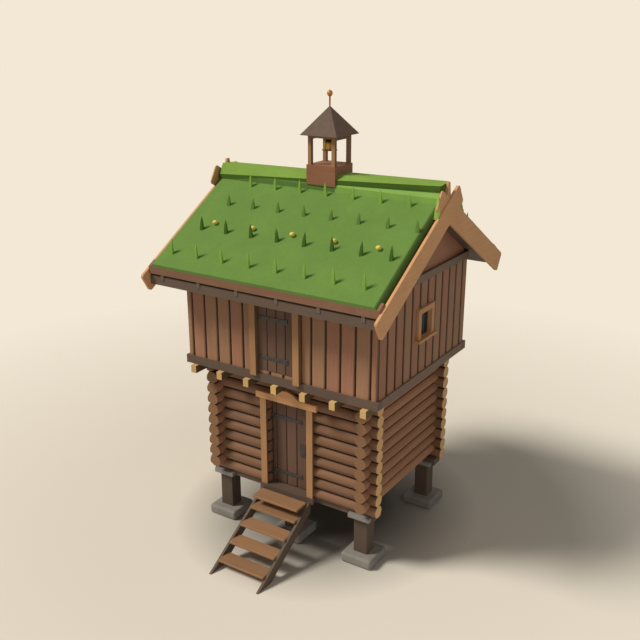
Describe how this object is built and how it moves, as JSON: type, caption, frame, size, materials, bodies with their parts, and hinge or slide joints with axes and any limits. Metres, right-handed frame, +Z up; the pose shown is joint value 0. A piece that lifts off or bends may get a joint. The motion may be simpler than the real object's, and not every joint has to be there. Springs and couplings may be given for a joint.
{
  "type": "raised granary",
  "caption": "Raised granary of notched logs with a wider boarded upper storey, turf roof, crossed verge boards, stair and a small bell turret.",
  "frame": {"origin": "on the ground under the middle of the whole object, stair included, on the level of the base stones' undersides; the centre of the log storey is 0.357 m behind it", "axes": "+X to the right along the front, +Y from the front to the back (the doors face -Y), +Z up"},
  "size_m": [4.98, 5.8451, 8.5876],
  "materials": {
    "turf": "short matt grass over earth",
    "log_wood": "weathered round timber, matt",
    "board_wood": "oiled reddish boards, matt",
    "dark_wood": "tarred beams, matt",
    "trim_wood": "planed light timber, satin",
    "pale_wood": "freshly cut pale timber",
    "tread_wood": "worn planks, matt",
    "turret_wood": "reddish boards, matt",
    "shingle": "dark boards, matt",
    "stone": "rough grey stone",
    "iron": "forged, dull black",
    "bell_metal": "aged bronze",
    "knob": "gilded wood, satin",
    "pane": "dark window glass"
  },
  "bodies": {
    "house": {"back_log_wall": "log_wood", "back_roof_deck": "dark_wood", "back_turf": "turf", "back_verge_boards": "trim_wood", "base_stones": "stone", "bay_posts": "trim_wood", "bearers": "dark_wood", "cap_stones": "stone", "door_jambs": "trim_wood", "door_lintel": "trim_wood", "door_pintles": "iron", "end_sills": "dark_wood", "finial": "knob", "front_roof_deck": "dark_wood", "front_turf": "turf", "front_verge_boards": "trim_wood", "front_wall_left": "log_wood", "front_wall_over_door": "log_wood", "front_wall_right": "log_wood", "gable_panels": "board_wood", "ground_floor": "board_wood", "joists": "pale_wood", "left_log_wall": "log_wood", "long_sills": "dark_wood", "posts": "dark_wood", "ridge_beam": "dark_wood", "ridge_cap": "turf", "ridge_stops": "trim_wood", "right_log_wall": "log_wood", "stair_stringers": "dark_wood", "stair_treads": "tread_wood", "threshold": "dark_wood", "tie_beams": "dark_wood", "turf_log_hooks": "dark_wood", "turf_logs": "log_wood", "turret_base": "turret_wood", "turret_frame": "trim_wood", "turret_roof": "shingle", "upper_back_wall": "board_wood", "upper_door": "board_wood", "upper_floor": "board_wood", "upper_front_wall": "board_wood", "upper_left_wall": "board_wood", "upper_right_wall": "board_wood", "window_frames": "trim_wood", "window_glass": "pane"},
    "door": {"door_leaf": "board_wood", "door_straps": "iron", "door_lock": "iron"},
    "bell": {"bell": "bell_metal", "bell_yoke": "trim_wood"}
  },
  "joints": [
    {"name": "lower_door", "type": "hinge", "parent": "house", "child": "door", "pos_m": [-0.452, -1.001, 2.02], "axis": [0, 0, -1], "range_deg": [0, 90]},
    {"name": "bell_swing", "type": "hinge", "parent": "house", "child": "bell", "pos_m": [0, 0.357, 7.738], "axis": [1, 0, 0], "range_deg": [-30, 30]}
  ]
}
